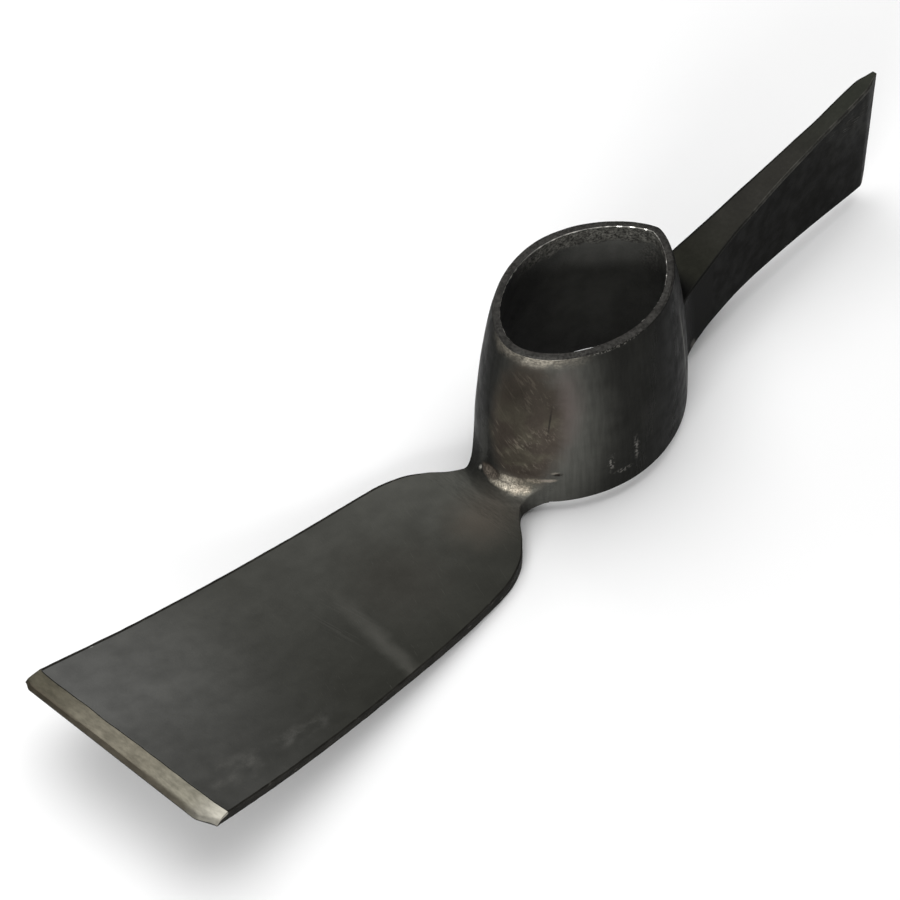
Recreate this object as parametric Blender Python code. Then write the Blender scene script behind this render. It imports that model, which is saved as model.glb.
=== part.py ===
"""Head of a grub hoe: a hoe blade and an axe blade welded to a handle eye.

Frame: +Z runs up the eye, from the wide mouth that the handle is driven in through to the
narrow mouth that its shaft comes out of. The hoe blade points along -X, the axe blade along
+X, and the head is symmetric about Y = 0. The origin lies under the middle of the head,
level with its lowest point. Shapes are written about the eye's own axis, with Z = 0 at its
wide mouth, and every piece is parented to an empty that stands there.
"""

import math

import bmesh
import bpy

MM = 0.001

# Overall reach of each blade from the eye's axis, and the play between neighbouring pieces
HOE_REACH = 246.0 * MM
AXE_REACH = 173.0 * MM
LOWEST_POINT = -5.4 * MM
GAP = 0.35 * MM

# Eye: half sizes of the outer wall at each mouth, as (hoe end, axe end, side, shift in X)
EYE_DEPTH = 71.6 * MM
EYE_BOTTOM = (47.3 * MM, 53.7 * MM, 35.7 * MM, -2.3 * MM)
EYE_TOP = (41.8 * MM, 41.6 * MM, 30.1 * MM, 1.0 * MM)
EYE_TAPER_POWER = 2.25
EYE_ROUND_END = (1.87, 0.545)
EYE_POINTED_END = (2.02, 0.715)
EYE_WALL_BOTTOM = 5.6 * MM
EYE_WALL_TOP = 3.7 * MM
RIM_CHAMFER = 0.5 * MM
EYE_POINTS = 72
EYE_LEVELS = 7

# Hoe blade: plan half width, upper face and lower face, each against X
HOE_HALF_WIDTH = (
    (-246 * MM, 47.4 * MM), (-205 * MM, 45.1 * MM), (-129 * MM, 39.7 * MM), (-95 * MM, 36.6 * MM),
    (-80 * MM, 34.5 * MM), (-70 * MM, 30.8 * MM), (-62 * MM, 24.6 * MM), (-56 * MM, 18.0 * MM),
    (-50 * MM, 13.6 * MM), (-46 * MM, 12.9 * MM), (-36 * MM, 12.9 * MM),
)
HOE_UPPER_FACE = (
    (-246 * MM, 33.6 * MM), (-195 * MM, 19.1 * MM), (-147 * MM, 9.1 * MM), (-99 * MM, 2.4 * MM),
    (-78 * MM, 1.2 * MM), (-60 * MM, 2.2 * MM), (-46 * MM, 4.6 * MM), (-36 * MM, 6.0 * MM),
)
HOE_LOWER_FACE = (
    (-246 * MM, 29.0 * MM), (-195 * MM, 15.0 * MM), (-147 * MM, 4.9 * MM), (-99 * MM, -3.0 * MM),
    (-66 * MM, LOWEST_POINT), (-46 * MM, -4.4 * MM), (-36 * MM, -2.5 * MM),
)
HOE_PLATE_END = -110 * MM
HOE_NECK_START = -100 * MM
HOE_ROOT = -38 * MM
HOE_PLATE_RINGS = 9
HOE_NECK_RINGS = 20
HOE_BEVEL_LENGTH = 8.0 * MM
HOE_CORNER = 0.4 * MM
HOE_DRAFT = 0.8 * MM
HOE_DRAFT_FADE = 15.0 * MM
EDGE_LAND = 0.6 * MM

# Axe blade: half thickness, upper edge and lower edge, each against X
AXE_ROOT = 40.0 * MM
AXE_HALF_THICKNESS = (
    (40 * MM, 10.8 * MM), (47.5 * MM, 10.0 * MM), (90 * MM, 6.0 * MM), (131 * MM, 4.1 * MM),
    (164 * MM, 2.9 * MM), (173 * MM, 0.3 * MM),
)
AXE_UPPER_EDGE = (
    (40 * MM, 33.6 * MM), (47.5 * MM, 35.6 * MM), (90 * MM, 45.3 * MM), (131 * MM, 52.0 * MM),
    (173 * MM, 57.8 * MM),
)
AXE_LOWER_EDGE = (
    (40 * MM, 0.4 * MM), (47.5 * MM, 1.2 * MM), (66 * MM, 6.0 * MM), (88 * MM, 7.4 * MM),
    (129 * MM, 5.6 * MM), (173 * MM, 1.2 * MM),
)
AXE_ROOT_END = 70 * MM
AXE_CHEEK_START = 78 * MM
AXE_BEVEL_START = 164 * MM
AXE_BEVEL_SECOND = 166 * MM
AXE_ROOT_RINGS = 9
AXE_CHEEK_RINGS = 9
AXE_BEVEL_RINGS = 5
AXE_EDGE_LEAN = 3.0 * MM
AXE_TOE_RADIUS = 8.0 * MM
AXE_CORNER = 0.5 * MM

# Weld fillets: how far each lies on its blade and spreads over the eye's wall
HOE_WELD_TOE = -60.0 * MM
HOE_WELD_ROOT = -43.0 * MM
HOE_WELD_RADIUS = 13.0 * MM
HOE_WELD_SPREAD = 4.0 * MM
HOE_WELD_FLARE = 5
HOE_WELD_RINGS = 17
AXE_WELD_TOE = 64.0 * MM
AXE_WELD_ROOT = 42.0 * MM
AXE_WELD_RADIUS = 6.0 * MM
AXE_WELD_SPREAD = 6.0 * MM
AXE_WELD_FLARE = 2
AXE_WELD_RINGS = 13
WELD_LIP = 0.9 * MM
WELD_CROWN = 27.0 * MM
WELD_FALL = 0.5
WELD_TOP_POINTS = 11
CUTTER_DROP = 20.0 * MM

# Largest share of a section's height or half width that its eased corner may take, and the angle
# above which an edge is shaded as an arris
CORNER_SHARE = 0.4
ARRIS_ANGLE = math.radians(28)

# Finishes: base colour, roughness, metallic
FORGED_BLACK = ((0.035, 0.034, 0.032), 0.42, 0.75)
BLADE_BLACK = ((0.045, 0.043, 0.040), 0.48, 0.70)
GROUND_STEEL = ((0.16, 0.145, 0.13), 0.36, 0.90)


def clear_scene():
    for thing in list(bpy.data.objects):
        bpy.data.objects.remove(thing, do_unlink=True)


def make_material(name, finish):
    colour, roughness, metallic = finish
    material = bpy.data.materials.new(name)
    material.use_nodes = True
    shader = material.node_tree.nodes["Principled BSDF"]
    shader.inputs["Base Color"].default_value = (*colour, 1.0)
    shader.inputs["Roughness"].default_value = roughness
    shader.inputs["Metallic"].default_value = metallic
    return material


def curve_slopes(points):
    """Slope at each point of a smooth curve that never overshoots its points."""
    chords = [(b[1] - a[1]) / (b[0] - a[0]) for a, b in zip(points, points[1:])]
    slopes = [chords[0]]
    for before, after in zip(chords, chords[1:]):
        same_way = before * after > 0
        slopes.append(2 * before * after / (before + after) if same_way else 0.0)
    slopes.append(chords[-1])
    return slopes


def on_curve(points, x):
    """Value at x of the smooth curve through points, held level past its ends."""
    x = min(max(x, points[0][0]), points[-1][0])
    slopes = curve_slopes(points)
    for index in range(len(points) - 1):
        (x0, y0), (x1, y1) = points[index], points[index + 1]
        if x <= x1:
            span = x1 - x0
            t = (x - x0) / span
            hermite = (1 + 2 * t) * (1 - t) ** 2 * y0 + t * t * (3 - 2 * t) * y1
            return hermite + span * t * (1 - t) * ((1 - t) * slopes[index] - t * slopes[index + 1])
    return points[-1][1]


def spread(start, end, count):
    """count values from start to end, both included."""
    return [start + (end - start) * index / (count - 1) for index in range(count)]


def quarter_arc(radius, distance):
    """Rise of a concave quarter-round fillet at a distance from the wall it climbs."""
    into = min(max(radius - distance, 0.0), radius)
    return radius - math.sqrt(radius * radius - into * into)


def eye_outline(height, inset):
    """Points round the eye's wall at a height, moved inwards by inset."""
    rise = (max(height, 0.0) / EYE_DEPTH) ** EYE_TAPER_POWER
    hoe_end, axe_end, side, shift = (low + (high - low) * rise for low, high in zip(EYE_BOTTOM, EYE_TOP))
    points = []
    for index in range(EYE_POINTS):
        turn = 2 * math.pi * index / EYE_POINTS
        along = math.cos(turn)
        length, (power, bluntness) = (axe_end, EYE_POINTED_END) if along > 0 else (hoe_end, EYE_ROUND_END)
        across = max(1 - abs(along) ** power, 0.0) ** bluntness
        y = math.copysign((side - inset) * across, math.sin(turn))
        points.append((shift + (length - inset) * along, y, height))
    return points


def eye_end(y, hoe_side):
    """X of the eye's outer wall at a given Y, near its wide mouth."""
    hoe_end, axe_end, side, shift = EYE_BOTTOM
    length, (power, bluntness) = (hoe_end, EYE_ROUND_END) if hoe_side else (axe_end, EYE_POINTED_END)
    along = (1 - min(abs(y) / side, 1.0) ** (1 / bluntness)) ** (1 / power)
    return shift - length * along if hoe_side else shift + length * along


def blade_ring(x, half_width, top, bottom, corner, draft=0.0):
    """Flat-sided section of a blade in the plane at x, with eased corners and a wider foot."""
    ease = min(corner, CORNER_SHARE * (top - bottom), CORNER_SHARE * half_width)
    foot = half_width + draft
    profile = (
        (-foot, bottom + ease), (-half_width, top - ease),
        (ease - half_width, top), (half_width - ease, top),
        (half_width, top - ease), (foot, bottom + ease),
        (foot - ease, bottom), (ease - foot, bottom),
    )
    return [(x, y, z) for y, z in profile]


def loft(name, rings, ring_shaped=False):
    """Solid skinned over rings of equal length; ring_shaped joins the last ring to the first."""
    mesh = bmesh.new()
    loops = [[mesh.verts.new(point) for point in ring] for ring in rings]
    pairs = list(zip(loops, loops[1:]))
    if ring_shaped:
        pairs.append((loops[-1], loops[0]))
    else:
        mesh.faces.new(loops[0])
        mesh.faces.new(loops[-1])
    for near, far in pairs:
        for index in range(len(near)):
            after = (index + 1) % len(near)
            mesh.faces.new((near[index], near[after], far[after], far[index]))
    bmesh.ops.recalc_face_normals(mesh, faces=mesh.faces)
    data = bpy.data.meshes.new(name)
    mesh.to_mesh(data)
    mesh.free()
    data.shade_smooth()
    data.set_sharp_from_angle(angle=ARRIS_ANGLE)
    piece = bpy.data.objects.new(name, data)
    bpy.context.scene.collection.objects.link(piece)
    return piece


def make_cutter(name, rings):
    cutter = loft(name, rings)
    cutter.hide_render = True
    cutter.display_type = "WIRE"
    return cutter


def cut_away(piece, cutter):
    cut = piece.modifiers.new("clear_of_" + cutter.name, "BOOLEAN")
    cut.operation = "DIFFERENCE"
    cut.solver = "EXACT"
    cut.object = cutter


def hoe_rings(grow):
    """Sections of the hoe blade from its edge to its root, grown on all sides."""
    bevel_end = -HOE_REACH + HOE_BEVEL_LENGTH
    plate = spread(bevel_end, HOE_PLATE_END, HOE_PLATE_RINGS)
    neck = spread(HOE_NECK_START, HOE_ROOT, HOE_NECK_RINGS)
    rings = []
    for x in [-HOE_REACH] + plate + neck:
        bottom = on_curve(HOE_LOWER_FACE, x)
        top = bottom + EDGE_LAND if x == -HOE_REACH else on_curve(HOE_UPPER_FACE, x)
        half_width = on_curve(HOE_HALF_WIDTH, x) + grow
        draft = HOE_DRAFT * min(max((HOE_WELD_TOE - x) / HOE_DRAFT_FADE, 0.0), 1.0)
        rings.append(blade_ring(x, half_width, top + grow, bottom - grow, HOE_CORNER, draft))
    return rings


def axe_rings(grow):
    """Sections of the axe blade from its root to its edge, grown on all sides."""
    root = spread(AXE_ROOT, AXE_ROOT_END, AXE_ROOT_RINGS)
    cheek = spread(AXE_CHEEK_START, AXE_BEVEL_START, AXE_CHEEK_RINGS)
    bevel = spread(AXE_BEVEL_SECOND, AXE_REACH, AXE_BEVEL_RINGS)
    rings = []
    for x in root + cheek + bevel:
        top = on_curve(AXE_UPPER_EDGE, x)
        toe = quarter_arc(AXE_TOE_RADIUS, AXE_REACH - x)
        bottom = on_curve(AXE_LOWER_EDGE, x) + toe
        half_width = on_curve(AXE_HALF_THICKNESS, x) + grow
        lean = AXE_EDGE_LEAN * max(x - AXE_BEVEL_START, 0.0) / (AXE_REACH - AXE_BEVEL_START)
        ring = blade_ring(x, half_width, top + grow, bottom - grow, AXE_CORNER)
        rings.append([(px - lean * (top - pz) / (top - bottom), py, pz) for px, py, pz in ring])
    return rings


def weld_ring(x, half_width, blade_half_width, base, bottom, radius, wall_distance):
    """Section of a weld fillet: it climbs the eye's wall, and falls off beside the blade."""
    ring = []
    for y in spread(-half_width, half_width, WELD_TOP_POINTS):
        crown = math.sqrt(1 - (y / WELD_CROWN) ** 2)
        beside = max(abs(y) - blade_half_width - WELD_LIP, 0.0)
        ring.append((x, y, base + quarter_arc(radius * crown, wall_distance(y)) - WELD_FALL * beside))
    return ring + [(x, half_width, bottom), (x, -half_width, bottom)]


def hoe_weld_rings():
    rings = []
    for x in spread(HOE_WELD_TOE, HOE_WELD_ROOT, HOE_WELD_RINGS):
        near = (x - HOE_WELD_TOE) / (HOE_WELD_ROOT - HOE_WELD_TOE)
        blade = on_curve(HOE_HALF_WIDTH, x)
        half_width = blade + WELD_LIP + HOE_WELD_SPREAD * near ** HOE_WELD_FLARE
        base = on_curve(HOE_UPPER_FACE, x) + WELD_LIP
        bottom = on_curve(HOE_LOWER_FACE, x) + WELD_LIP

        def wall_distance(y):
            return eye_end(y, True) - x

        rings.append(weld_ring(x, half_width, blade, base, bottom, HOE_WELD_RADIUS, wall_distance))
    return rings


def axe_weld_rings():
    rings = []
    for x in spread(AXE_WELD_TOE, AXE_WELD_ROOT, AXE_WELD_RINGS):
        near = (AXE_WELD_TOE - x) / (AXE_WELD_TOE - AXE_WELD_ROOT)
        blade = on_curve(AXE_HALF_THICKNESS, x)
        half_width = blade + WELD_LIP + AXE_WELD_SPREAD * near ** AXE_WELD_FLARE
        base = on_curve(AXE_UPPER_EDGE, x) + WELD_LIP
        bottom = on_curve(AXE_LOWER_EDGE, x) + WELD_LIP

        def wall_distance(y):
            return x - eye_end(y, False)

        rings.append(weld_ring(x, half_width, blade, base, bottom, AXE_WELD_RADIUS, wall_distance))
    return rings


def dropped(rings, drop):
    """The same sections with their lower half lowered, so that a cut leaves nothing below."""
    lowered = []
    for ring in rings:
        middle = sum(point[2] for point in ring) / len(ring)
        lowered.append([(x, y, z - drop if z < middle else z) for x, y, z in ring])
    return lowered


def make_eye_socket():
    outer = []
    levels = spread(RIM_CHAMFER, EYE_DEPTH - RIM_CHAMFER, EYE_LEVELS)
    outer.append(eye_outline(0.0, RIM_CHAMFER))
    outer.extend(eye_outline(height, 0.0) for height in levels)
    outer.append(eye_outline(EYE_DEPTH, RIM_CHAMFER))
    inner = []
    for height in spread(EYE_DEPTH, 0.0, EYE_LEVELS):
        wall = EYE_WALL_BOTTOM + (EYE_WALL_TOP - EYE_WALL_BOTTOM) * height / EYE_DEPTH
        inner.append(eye_outline(height, wall))
    return loft("eye_socket", outer + inner, ring_shaped=True)


def make_eye_cutter():
    heights = [-CUTTER_DROP] + spread(0.0, EYE_DEPTH, 2 * EYE_LEVELS - 1)
    return make_cutter("eye_clearance", [eye_outline(height, -GAP) for height in heights])


def place(piece, parent, finish):
    piece.parent = parent
    piece.data.materials.append(make_material(piece.name + "_finish", finish))


def build():
    clear_scene()
    eye_foot = bpy.data.objects.new("eye_foot", None)
    eye_foot.location = ((HOE_REACH - AXE_REACH) / 2, 0.0, -LOWEST_POINT)
    bpy.context.scene.collection.objects.link(eye_foot)

    eye_clearance = make_eye_cutter()
    hoe_clearance = make_cutter("hoe_clearance", dropped(hoe_rings(GAP), CUTTER_DROP))
    axe_clearance = make_cutter("axe_clearance", dropped(axe_rings(GAP), CUTTER_DROP))
    for cutter in (eye_clearance, hoe_clearance, axe_clearance):
        cutter.parent = eye_foot

    eye_socket = make_eye_socket()
    hoe_blade = loft("hoe_blade", hoe_rings(0.0))
    axe_blade = loft("axe_blade", axe_rings(0.0))
    hoe_weld = loft("hoe_weld", hoe_weld_rings())
    axe_weld = loft("axe_weld", axe_weld_rings())
    for piece in (hoe_blade, axe_blade, hoe_weld, axe_weld):
        cut_away(piece, eye_clearance)
    cut_away(hoe_weld, hoe_clearance)
    cut_away(axe_weld, axe_clearance)

    place(eye_socket, eye_foot, FORGED_BLACK)
    place(hoe_blade, eye_foot, BLADE_BLACK)
    place(axe_blade, eye_foot, BLADE_BLACK)
    place(hoe_weld, eye_foot, GROUND_STEEL)
    place(axe_weld, eye_foot, FORGED_BLACK)


build()
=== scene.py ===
"""Looks of the grub hoe head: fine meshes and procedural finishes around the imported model.

Shapes are written about the eye's own axis (Z = 0 at its wide mouth, +X towards the axe
blade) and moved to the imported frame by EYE_FOOT. Lengths are in metres, MM turns millimetres
into metres. Each piece stands for the CAD node of the same name.
"""

import math

import bpy
import numpy as np
from mathutils import Matrix, Vector, noise


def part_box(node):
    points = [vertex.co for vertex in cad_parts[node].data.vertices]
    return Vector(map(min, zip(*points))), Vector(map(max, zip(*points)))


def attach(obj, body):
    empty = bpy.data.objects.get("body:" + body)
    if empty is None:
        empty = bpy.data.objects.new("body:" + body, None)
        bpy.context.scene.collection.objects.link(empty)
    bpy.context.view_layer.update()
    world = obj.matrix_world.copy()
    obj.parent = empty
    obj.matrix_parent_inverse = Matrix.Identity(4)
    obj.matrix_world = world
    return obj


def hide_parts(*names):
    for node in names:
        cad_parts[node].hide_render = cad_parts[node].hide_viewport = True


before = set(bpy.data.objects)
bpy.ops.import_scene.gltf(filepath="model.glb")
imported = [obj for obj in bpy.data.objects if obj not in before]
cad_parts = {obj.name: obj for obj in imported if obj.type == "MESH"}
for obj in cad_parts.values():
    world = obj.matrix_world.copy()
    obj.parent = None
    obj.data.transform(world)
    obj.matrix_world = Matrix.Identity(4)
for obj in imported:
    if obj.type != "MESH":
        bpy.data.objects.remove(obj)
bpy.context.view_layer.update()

MM = 0.001

# Eye: half sizes of the outer wall at each mouth, as (hoe end, axe end, side, shift in X)
EYE_BOTTOM = np.array((47.3, 53.7, 35.7, -2.3)) * MM
EYE_TOP = np.array((41.8, 41.6, 30.1, 1.0)) * MM
EYE_TAPER_POWER = 2.25
EYE_ROUND_END = (1.87, 0.545)
EYE_POINTED_END = (2.02, 0.715)
EYE_WALL_BOTTOM = 5.6 * MM
EYE_WALL_TOP = 3.7 * MM

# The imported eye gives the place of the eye's axis, its foot and its depth
eye_low, eye_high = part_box("eye_socket")
EYE_DEPTH = eye_high.z - eye_low.z
EYE_FOOT = Vector((eye_high.x - EYE_BOTTOM[1] - EYE_BOTTOM[3], 0.0, eye_low.z))
HOE_REACH = EYE_FOOT.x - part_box("hoe_blade")[0].x
AXE_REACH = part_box("axe_blade")[1].x - EYE_FOOT.x

# Hoe blade: plan half width, upper face and lower face, each against X in millimetres
HOE_HALF_WIDTH = ((-246, 47.4), (-205, 45.1), (-129, 39.7), (-95, 36.6), (-80, 34.5), (-70, 30.8),
                  (-62, 24.6), (-56, 18.0), (-50, 13.6), (-46, 12.9), (-36, 12.9))
HOE_UPPER_FACE = ((-246, 33.6), (-195, 19.1), (-147, 9.1), (-99, 2.4), (-78, 1.2), (-60, 2.2),
                  (-46, 4.6), (-36, 6.0))
HOE_LOWER_FACE = ((-246, 29.0), (-195, 15.0), (-147, 4.9), (-99, -3.0), (-66, -5.4), (-46, -4.4),
                  (-36, -2.5))
# Axe blade: half thickness, upper edge and lower edge, each against X in millimetres
AXE_HALF_THICKNESS = ((40, 10.8), (47.5, 10.0), (90, 6.0), (131, 4.1), (164, 2.9), (173, 0.3))
AXE_UPPER_EDGE = ((40, 33.6), (47.5, 35.6), (90, 45.3), (131, 52.0), (173, 57.8))
AXE_LOWER_EDGE = ((40, 0.4), (47.5, 1.2), (66, 6.0), (88, 7.4), (129, 5.6), (173, 1.2))

# Axe edge: where its bevel starts, how far it leans back at its foot, and its toe's radius
AXE_BEVEL_START = 164 * MM
AXE_LEAN = 3.0 * MM
AXE_TOE_RADIUS = 8.0 * MM

# Ground bevel at the hoe's edge: its length, the edge's own thickness, the height of the narrow
# second bevel, and the wear of the near corner
BEVEL_LENGTH = 8.0 * MM
EDGE_LAND = 0.6 * MM
SECOND_BEVEL_RISE = 1.7 * MM
CORNER_WEAR = 3.0 * MM
# Sheet where each blade ends and its weld begins, and how far the blade steps in under it
HOE_TOE = -64.0 * MM
AXE_TOE = 66.0 * MM
TONGUE_STEP = 0.35 * MM
# Rings of a blade: points across a face, up a side and round a corner, the corner's radius, and
# both together with the blade's curves
HOE_COUNTS = (110, 5, 6)
AXE_COUNTS = (22, 44, 6)
HOE_CORNER = 0.55 * MM
AXE_CORNER = 0.7 * MM
HOE_BLADE = (HOE_HALF_WIDTH, HOE_UPPER_FACE, HOE_LOWER_FACE, HOE_CORNER, HOE_COUNTS)
AXE_BLADE = (AXE_HALF_THICKNESS, AXE_UPPER_EDGE, AXE_LOWER_EDGE, AXE_CORNER, AXE_COUNTS)
# Rings of the eye: points in each, the rounding of its outer and inner corners, and the height of
# the finely meshed band under its rim
EYE_COUNT = 480
EYE_EDGE = 0.7 * MM
EYE_INNER_EDGE = 0.4 * MM
FINE_BAND = 9 * MM
# Welds: rise up the eye's wall, width of its arch, spread beside the blade at its foot and at its
# top, and length along the blade at its sides and at its crown
HOE_WELD = (12.2 * MM, 18.0 * MM, (6.0 * MM, 10.5 * MM), (5.4 * MM, 9.2 * MM))
AXE_WELD = (5.0 * MM, 17.0 * MM, (4.0 * MM, 4.0 * MM), (8.0 * MM, 7.0 * MM))
# How a weld is made: its bite into the eye's wall, the lift of its foot, its rows along the blade
# and up the fillet, and the rounds of the solver that lands it on the wall
WALL_BITE = 0.04 * MM
FOOT_LIFT = 0.4 * MM
RUN_IN_ROWS = 18
FILLET_ROWS = 40
SOLVER_STEPS = 30
# The weld's lining inside the wall: its depth, its size beside the fillet and its coarser rows
LINING_DEPTH = 1.0 * MM
LINING_SIZE = 0.86
LINING_STEP = 6

# Facets hammered into the eye's hoe end: place across it, reach and height, in millimetres
FACETS = ((9, 9, 0.35), (24, 9, -0.4), (-4, 12, -0.25))
# Centres of marks, in millimetres: a dent, its paler floor and a chip at the hoe weld's crown, a
# pit and its light lip at the end of its arm, and a thin groove up the eye
WELD_DENT = (-50.6, 2.0, 10.4)
DENT_FLOOR = (-50.6, 2.1, 9.9)
WELD_CHIP = (-51.0, 7.6, 7.9)
EYE_PIT = (-38.2, -21.3, 15.3)
PIT_LIP = (-38.8, -20.4, 16.2)
EYE_GROOVE = (-38.7, -17.6, 43.0)
# Rubbed places low on the eye and bright ground places at the neck, each a centre and a reach in
# millimetres
RUB_MARKS = (((-20.5, -32.5, 15), (2.2, 4, 6)), ((-9.3, -35, 17), (1.8, 4, 9)),
             ((-15, -34, 8.5), (6, 4, 1.6)))
GROUND_PLACES = (((-51.4, -5, 7.9), (5, 9, 1.9)), ((-49.4, -9.8, 8.6), (5, 4.6, 3.6)),
                 ((-49.6, -4.6, 10.6), (4, 4.4, 2.2)), ((-47.6, -8.5, 11.2), (5, 6.0, 1.9)),
                 ((-44, -14.2, 12.3), (4.5, 5.4, 1.5)), ((-48.2, -13.2, 9.0), (4, 3, 3.4)))

# Satin lacquer over steel: its share of metal, its clear gloss, and its gleam at a glancing angle
METAL_SHARE = 0.5
LACQUER_GLOSS = 0.06
EDGE_GLEAM = 0.35

# Stage: half the floor's width, the white world's strength, and the soft lights, each with its
# name, place, target, size in metres and power in watts
FLOOR_HALF = 6.0
WORLD_STRENGTH = 0.25
SOFTBOXES = (("overhead", (0.3, 0.3, 1.8), (0, 0, 0), (2.2, 2.2), 33),
             ("front", (-1.45, -0.65, 0.42), (0, 0, 0.03), (0.7, 0.5), 24),
             ("back_fill", (0.45, 1.5, 0.35), (0, 0, 0.04), (0.9, 0.5), 9))

# Camera: where it stands, what it looks at, its tilt about its own axis and its lens
CAMERA_AT = Vector((-0.7034, -0.65469, 1.13475))
CAMERA_TARGET = Vector((-0.01911, 0.01781, 0.02001))
CAMERA_ROLL = math.radians(-2.11)
CAMERA_LENS = 156.216


# ---- Curves and noise ----

def on_curve(points, x):
    """Value at x (an array, in metres) of the smooth curve through points given in millimetres."""
    knots = np.array(points, float) * MM
    px, py = knots[:, 0], knots[:, 1]
    chords = np.diff(py) / np.diff(px)
    before, after = chords[:-1], chords[1:]
    total = before + after
    same_way = before * after > 0
    middle = np.where(same_way, 2 * before * after / np.where(same_way, total, 1.0), 0.0)
    slopes = np.concatenate(([chords[0]], middle, [chords[-1]]))
    x = np.clip(x, px[0], px[-1])
    index = np.clip(np.searchsorted(px, x) - 1, 0, len(px) - 2)
    span = px[index + 1] - px[index]
    t = (x - px[index]) / span
    level = (1 + 2 * t) * (1 - t) ** 2 * py[index] + t * t * (3 - 2 * t) * py[index + 1]
    return level + span * t * (1 - t) * ((1 - t) * slopes[index] - t * slopes[index + 1])


def ramp(low, high, value):
    """0 below low, 1 above high, and a smooth ramp between."""
    t = np.clip((value - low) / (high - low), 0.0, 1.0)
    return t * t * (3 - 2 * t)


def bump(value, centre, reach):
    """1 at centre, fading smoothly to 0 at reach on both sides."""
    return 1.0 - ramp(0.0, reach, np.abs(value - centre))


def rough(points, size, octaves=1, seed=0.0):
    """Smooth noise between about -1 and 1 at an array of points, with features of that size."""
    flat = points.reshape(-1, 3) / size + seed
    values = np.zeros(len(flat))
    for octave in range(octaves):
        scale = 2.0 ** octave
        values += np.array([noise.noise(Vector(p)) for p in flat * scale]) / scale
    return values.reshape(points.shape[:-1])


def dent(points, centre, reach, depth):
    """Relief of a smooth dent over an array of points; its centre, reach and depth in millimetres."""
    distance = np.linalg.norm((points / MM - centre) / reach, axis=-1)
    return -depth * MM * (1 - ramp(0.3, 1.0, distance))


# ---- Meshes ----

def new_object(name, data):
    """A new object, linked into the scene."""
    made = bpy.data.objects.new(name, data)
    bpy.context.scene.collection.objects.link(made)
    return made


def grid_normals(points, ring_shaped):
    """Unit normals of a grid of rings of points; every ring is closed."""
    around = np.roll(points, -1, axis=1) - np.roll(points, 1, axis=1)
    along = np.roll(points, -1, axis=0) - np.roll(points, 1, axis=0)
    if not ring_shaped:
        along[0] = points[1] - points[0]
        along[-1] = points[-1] - points[-2]
    normals = np.cross(around, along)
    length = np.linalg.norm(normals, axis=2, keepdims=True)
    return normals / np.maximum(length, 1e-12)


def make_piece(name, points, sharp_angle, ring_shaped=False, face_slots=None):
    """Solid skinned over a grid of closed rings, capped at its ends or closed on itself."""
    rings, count = points.shape[:2]
    flat = (points + np.array(EYE_FOOT)).reshape(-1, 3)
    ring = np.arange(rings if ring_shaped else rings - 1)[:, None] * count
    next_ring = (ring + count) % (rings * count)
    here = np.arange(count)[None, :]
    there = (here + 1) % count
    quads = np.stack((ring + here, ring + there, next_ring + there, next_ring + here), axis=2)
    faces = quads.reshape(-1, 4).tolist()
    if not ring_shaped:
        faces.append(list(range(count))[::-1])
        faces.append(list(range((rings - 1) * count, rings * count)))
    mesh = bpy.data.meshes.new(name + "_shape")
    mesh.from_pydata(flat.tolist(), [], faces)
    mesh.update()
    piece = new_object(name + "_steel", mesh)
    if signed_volume(flat, quads.reshape(-1, 4)) < 0:
        mesh.flip_normals()
    mesh.shade_smooth()
    mesh.set_sharp_from_angle(angle=math.radians(sharp_angle))
    if face_slots is not None:
        slots = np.concatenate((face_slots.reshape(-1), np.zeros(len(faces) - face_slots.size, int)))
        mesh.polygons.foreach_set("material_index", slots.astype(np.int32))
    return piece


def signed_volume(points, quads):
    """Volume enclosed by the quads, negative if they face inwards."""
    a, b, c, d = (points[quads[:, corner]] for corner in range(4))
    one_half = np.einsum("ij,ij->i", a, np.cross(b, c))
    other_half = np.einsum("ij,ij->i", a, np.cross(c, d))
    return (one_half + other_half).sum() / 6


# ---- Eye socket ----

def eye_sizes(height):
    """Hoe end, axe end, side and shift of the eye's outer wall at a height."""
    rise = (np.clip(height, 0.0, EYE_DEPTH) / EYE_DEPTH) ** EYE_TAPER_POWER
    return [low + (high - low) * rise for low, high in zip(EYE_BOTTOM, EYE_TOP)]


def eye_wall_x(y, height, hoe_side):
    """X of the eye's outer wall at a given Y and height."""
    hoe_end, axe_end, side, shift = eye_sizes(height)
    power, bluntness = EYE_ROUND_END if hoe_side else EYE_POINTED_END
    inside = np.clip(1 - np.minimum(np.abs(y) / side, 0.999) ** (1 / bluntness), 0.0, 1.0)
    along = inside ** (1 / power)
    return shift - hoe_end * along if hoe_side else shift + axe_end * along


def eye_ring(height, inset, turns):
    """Closed ring round the eye at a height, moved inwards by inset."""
    hoe_end, axe_end, side, shift = eye_sizes(np.array(height))
    along = np.cos(turns)
    pointed = along > 0
    length = np.where(pointed, axe_end, hoe_end)
    power = np.where(pointed, EYE_POINTED_END[0], EYE_ROUND_END[0])
    bluntness = np.where(pointed, EYE_POINTED_END[1], EYE_ROUND_END[1])
    across = np.clip(1 - np.abs(along) ** power, 0.0, 1.0) ** bluntness
    y = np.sign(np.sin(turns)) * (side - inset) * across
    x = shift + (length - inset) * along
    return np.stack((x, y, np.full_like(x, height)), axis=1)


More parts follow.
